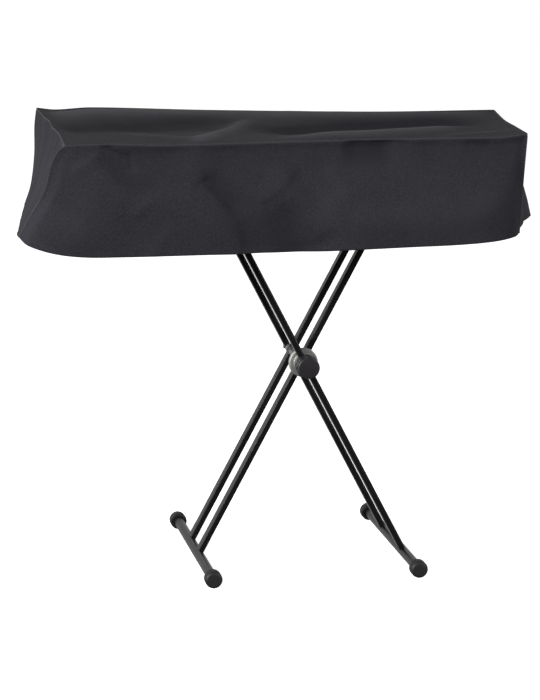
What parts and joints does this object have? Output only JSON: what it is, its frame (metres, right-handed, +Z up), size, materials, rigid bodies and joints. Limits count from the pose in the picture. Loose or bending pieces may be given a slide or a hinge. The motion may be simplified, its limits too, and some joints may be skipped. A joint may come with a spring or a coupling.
{
  "type": "xylophone cover on x-stand",
  "caption": "Fitted dust cover of coated cloth with a tapered flat top and a hanging skirt, draped over the top arms of a double-braced folding X-stand.",
  "frame": {"origin": "on the floor under the middle of the whole object's box", "axes": "+X towards the narrow treble end of the cover, +Y towards the back, +Z up"},
  "size_m": [1.3548, 0.8101, 1.0838],
  "materials": {
    "coated_cloth": "black plain-woven polyester with a thin coating, softly creased",
    "painted_steel": "black gloss powder coat",
    "rubber": "matt black moulded rubber",
    "moulded_plastic": "black moulded plastic, fine texture",
    "cast_metal": "bare die-cast metal, turned rim",
    "plated_steel": "zinc plated"
  },
  "bodies": {
    "root": {"cover_top": "coated_cloth", "cover_front": "coated_cloth", "cover_back": "coated_cloth", "cover_end_left": "coated_cloth", "cover_end_right": "coated_cloth", "foot_bar_left": "painted_steel", "foot_bar_right": "painted_steel", "foot_cap_left_front": "rubber", "foot_cap_left_back": "rubber", "foot_cap_right_front": "rubber", "foot_cap_right_back": "rubber", "inner_leg_front": "painted_steel", "inner_leg_back": "painted_steel", "outer_leg_front": "painted_steel", "outer_leg_back": "painted_steel", "arm_left": "painted_steel", "arm_right": "painted_steel", "arm_cap_left_front": "rubber", "arm_cap_left_back": "rubber", "arm_cap_right_front": "rubber", "arm_cap_right_back": "rubber", "pivot_bolt": "plated_steel", "pivot_sleeve": "plated_steel", "back_spacer": "cast_metal", "lock_disc": "cast_metal", "lock_knob": "moulded_plastic"}
  },
  "joints": []
}
